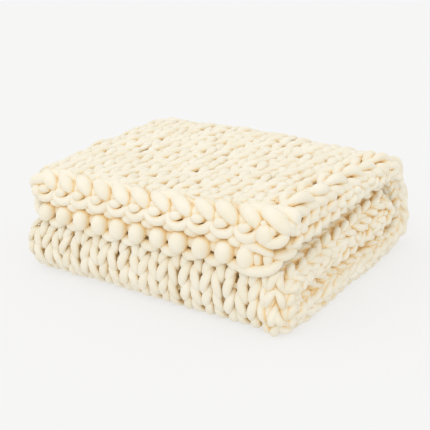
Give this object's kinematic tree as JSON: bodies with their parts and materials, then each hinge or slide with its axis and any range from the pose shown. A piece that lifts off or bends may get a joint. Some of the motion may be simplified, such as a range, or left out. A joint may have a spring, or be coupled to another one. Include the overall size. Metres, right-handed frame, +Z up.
{
  "type": "folded throw blanket",
  "caption": "Chunky hand-knitted throw blanket folded into a rectangular stack, with a rounded front fold, cast-on edges at the front and a top leaf that opens backwards.",
  "frame": {"origin": "middle of the folded stack's footprint, on the surface it lies on", "axes": "+X along the front fold from the side folds to the open selvages, +Y from the front fold to the back fold, +Z up"},
  "size_m": [0.508, 0.392, 0.18],
  "materials": {
    "knitted_yarn": "soft matt cotton jersey tube yarn, cream",
    "folded_yarn": "the same yarn where the knitting is bent round a fold, slightly deeper in tone",
    "edge_yarn": "the same yarn in the thick edge chains and selvages"
  },
  "bodies": {
    "lower_stack": {"back_fold_start_inner_ply": "knitted_yarn", "back_fold_start_inner_selvage": "edge_yarn", "back_fold_start_outer_ply": "knitted_yarn", "back_fold_start_outer_selvage": "edge_yarn", "back_fold_start_side_fold": "folded_yarn", "bottom_leaf_lower_ply": "knitted_yarn", "bottom_leaf_lower_selvage": "edge_yarn", "bottom_leaf_side_fold": "folded_yarn", "bottom_leaf_upper_ply": "knitted_yarn", "bottom_leaf_upper_selvage": "edge_yarn", "front_fold_inner_ply": "knitted_yarn", "front_fold_inner_selvage": "edge_yarn", "front_fold_outer_ply": "knitted_yarn", "front_fold_outer_selvage": "edge_yarn", "front_fold_side_fold": "folded_yarn", "middle_leaf_lower_bind_off_edge": "edge_yarn", "middle_leaf_lower_ply": "knitted_yarn", "middle_leaf_lower_selvage": "edge_yarn", "middle_leaf_side_fold": "folded_yarn", "middle_leaf_upper_bind_off_edge": "edge_yarn", "middle_leaf_upper_ply": "knitted_yarn", "middle_leaf_upper_selvage": "edge_yarn"},
    "back_fold": {"back_fold_inner_ply": "knitted_yarn", "back_fold_inner_selvage": "edge_yarn", "back_fold_outer_ply": "knitted_yarn", "back_fold_outer_selvage": "edge_yarn", "back_fold_side_fold": "folded_yarn"},
    "top_leaf": {"back_fold_end_inner_ply": "knitted_yarn", "back_fold_end_inner_selvage": "edge_yarn", "back_fold_end_outer_ply": "knitted_yarn", "back_fold_end_outer_selvage": "edge_yarn", "back_fold_end_side_fold": "folded_yarn", "top_leaf_lower_cast_on_edge": "edge_yarn", "top_leaf_lower_ply": "knitted_yarn", "top_leaf_lower_selvage": "edge_yarn", "top_leaf_side_fold": "folded_yarn", "top_leaf_upper_cast_on_edge": "edge_yarn", "top_leaf_upper_ply": "knitted_yarn", "top_leaf_upper_selvage": "edge_yarn"}
  },
  "joints": [
    {"name": "lower_crease", "type": "hinge", "parent": "lower_stack", "child": "back_fold", "pos_m": [0, 0.15862, 0.03738], "axis": [-1, 0, 0], "range_deg": [0, 90]},
    {"name": "upper_crease", "type": "hinge", "parent": "back_fold", "child": "top_leaf", "pos_m": [0, 0.15862, 0.14262], "axis": [-1, 0, 0], "range_deg": [0, 90]}
  ],
  "couplings": [
    {"joint": "upper_crease", "follows": "lower_crease", "ratio": 1}
  ]
}
